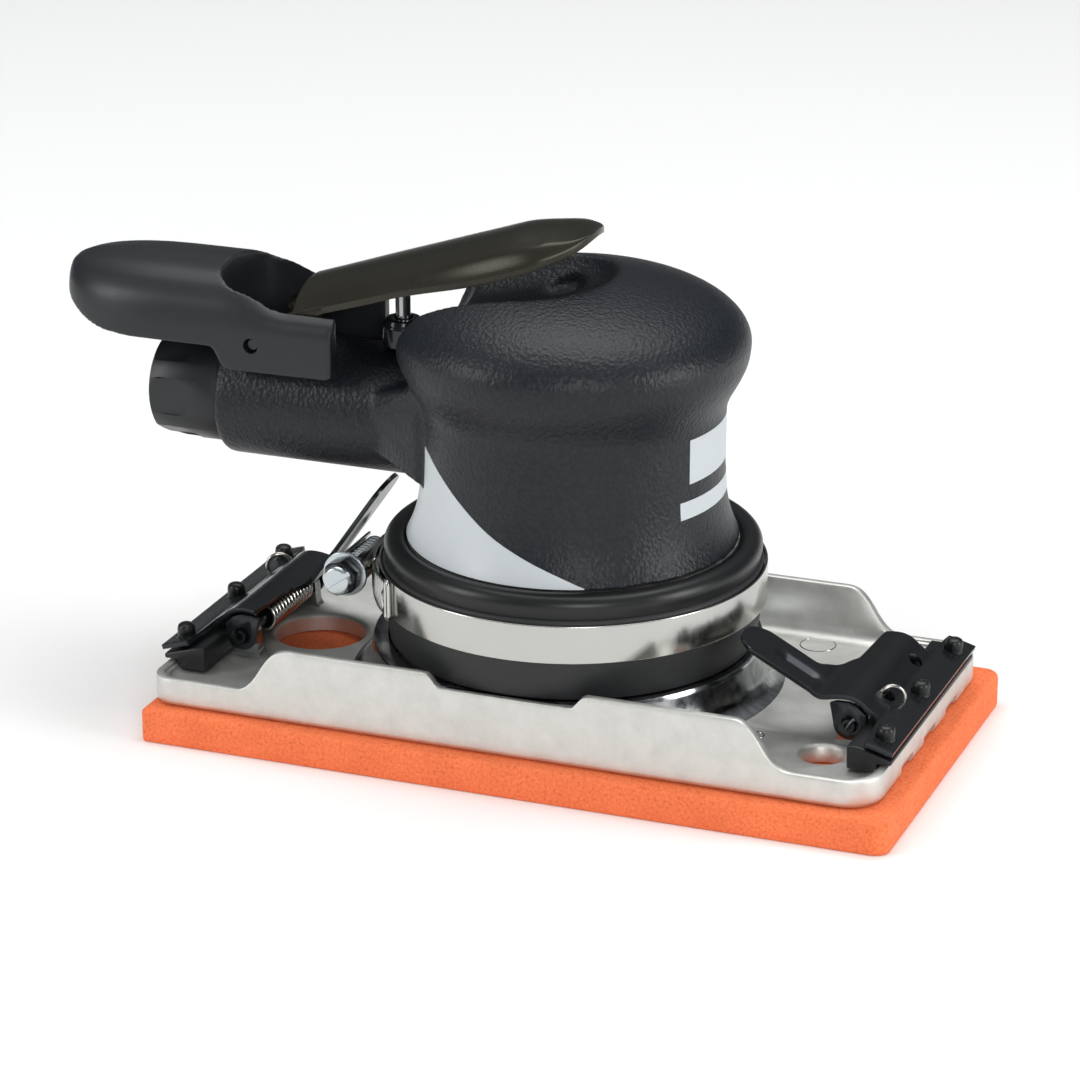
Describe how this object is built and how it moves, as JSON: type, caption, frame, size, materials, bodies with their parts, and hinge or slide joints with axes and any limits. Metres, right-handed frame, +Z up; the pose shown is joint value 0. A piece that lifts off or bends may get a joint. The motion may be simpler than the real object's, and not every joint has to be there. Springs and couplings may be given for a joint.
{
  "type": "orbital sander",
  "caption": "Air-powered orbital sander with a domed palm grip, throttle lever, rear air inlet and a rectangular foam pad with spring paper clamps.",
  "frame": {"origin": "centre of the foam pad's sanding face", "axes": "+Z up, out of the back of the pad; +X towards the front end, away from the air inlet; +Y to the left seen from behind the inlet"},
  "size_m": [0.2136, 0.093, 0.1194],
  "materials": {
    "orange_foam": "matte open-skin foam",
    "cast_aluminium": "tumbled cast",
    "grained_composite": "grained",
    "smooth_plastic": "satin moulded",
    "black_rubber": "satin",
    "stainless_band": "bright rolled",
    "zinc_plate": "zinc plated",
    "black_steel": "glossy black oxide",
    "lever_steel": "black phosphate, oiled",
    "steel": "bright",
    "bearing_steel": "polished",
    "sleeve_black": "satin",
    "felt": "felt",
    "vane": "fibre laminate"
  },
  "bodies": {
    "housing": {"grip_cover": "grained_composite", "motor_housing": "cast_aluminium", "lock_ring": "steel", "lower_end_plate": "cast_aluminium", "lower_bearing": "bearing_steel", "upper_end_plate": "cast_aluminium", "upper_bearing": "bearing_steel", "motor_cylinder": "steel", "shroud": "black_rubber", "clamp_band": "stainless_band", "worm_housing": "stainless_band", "worm_screw": "zinc_plate", "inlet_bushing": "steel", "muffler_sleeve": "sleeve_black", "muffler_felt": "felt", "valve_bushing": "black_steel", "valve_seal": "black_rubber", "valve_spring": "steel", "lever_guard": "smooth_plastic", "lever_pivot_pin": "black_steel"},
    "lever": {"throttle_lever": "lever_steel"},
    "valve": {"valve_stem": "steel"},
    "rotor": {"rotor": "steel", "vane_1": "vane", "vane_2": "vane", "vane_3": "vane", "vane_4": "vane", "vane_5": "vane", "rotor_key": "steel", "balancer_shaft": "steel", "spindle_bearing": "bearing_steel"},
    "pad": {"pad_spindle": "steel", "pad_screw": "steel", "pad_plate": "cast_aluminium", "foam_pad": "orange_foam", "front_pivot_pin": "steel", "front_clamp_spring": "steel", "rear_pivot_pin": "steel", "rear_clamp_spring": "steel"},
    "front_clamp": {"front_clamp_plate": "black_steel", "front_jaw_rubber": "black_rubber"},
    "rear_clamp": {"rear_clamp_plate": "black_steel", "rear_jaw_rubber": "black_rubber"}
  },
  "joints": [
    {"name": "lever_hinge", "type": "hinge", "parent": "housing", "child": "lever", "pos_m": [-0.0725, 0, 0.0881], "axis": [0, 1, 0], "range_deg": [0, 6], "stiffness_Nm_per_rad": 0.6, "springref_deg": -17.19},
    {"name": "valve_slide", "type": "slide", "parent": "housing", "child": "valve", "axis": [0, 0, -1], "range_m": [0, 0.0033], "stiffness_N_per_m": 300, "springref_m": -0.004, "deforming": ["valve_spring"]},
    {"name": "motor_spin", "type": "hinge", "parent": "housing", "child": "rotor", "pos_m": [-0.0006, 0, 0], "axis": [0, 0, 1], "continuous": true},
    {"name": "pad_orbit", "type": "hinge", "parent": "rotor", "child": "pad", "pos_m": [-0.0018, 0, 0], "axis": [0, 0, 1], "continuous": true},
    {"name": "front_clamp_hinge", "type": "hinge", "parent": "pad", "child": "front_clamp", "pos_m": [0.072, 0, 0.018], "axis": [0, -1, 0], "range_deg": [0, 8], "stiffness_Nm_per_rad": 0.5, "springref_deg": -28.65},
    {"name": "rear_clamp_hinge", "type": "hinge", "parent": "pad", "child": "rear_clamp", "pos_m": [-0.0756, 0, 0.018], "axis": [0, 1, 0], "range_deg": [0, 8], "stiffness_Nm_per_rad": 0.5, "springref_deg": -28.65}
  ],
  "couplings": [
    {"joint": "valve_slide", "follows": "lever_hinge", "m_per_rad": 0.0305},
    {"joint": "pad_orbit", "follows": "motor_spin", "ratio": -1}
  ]
}
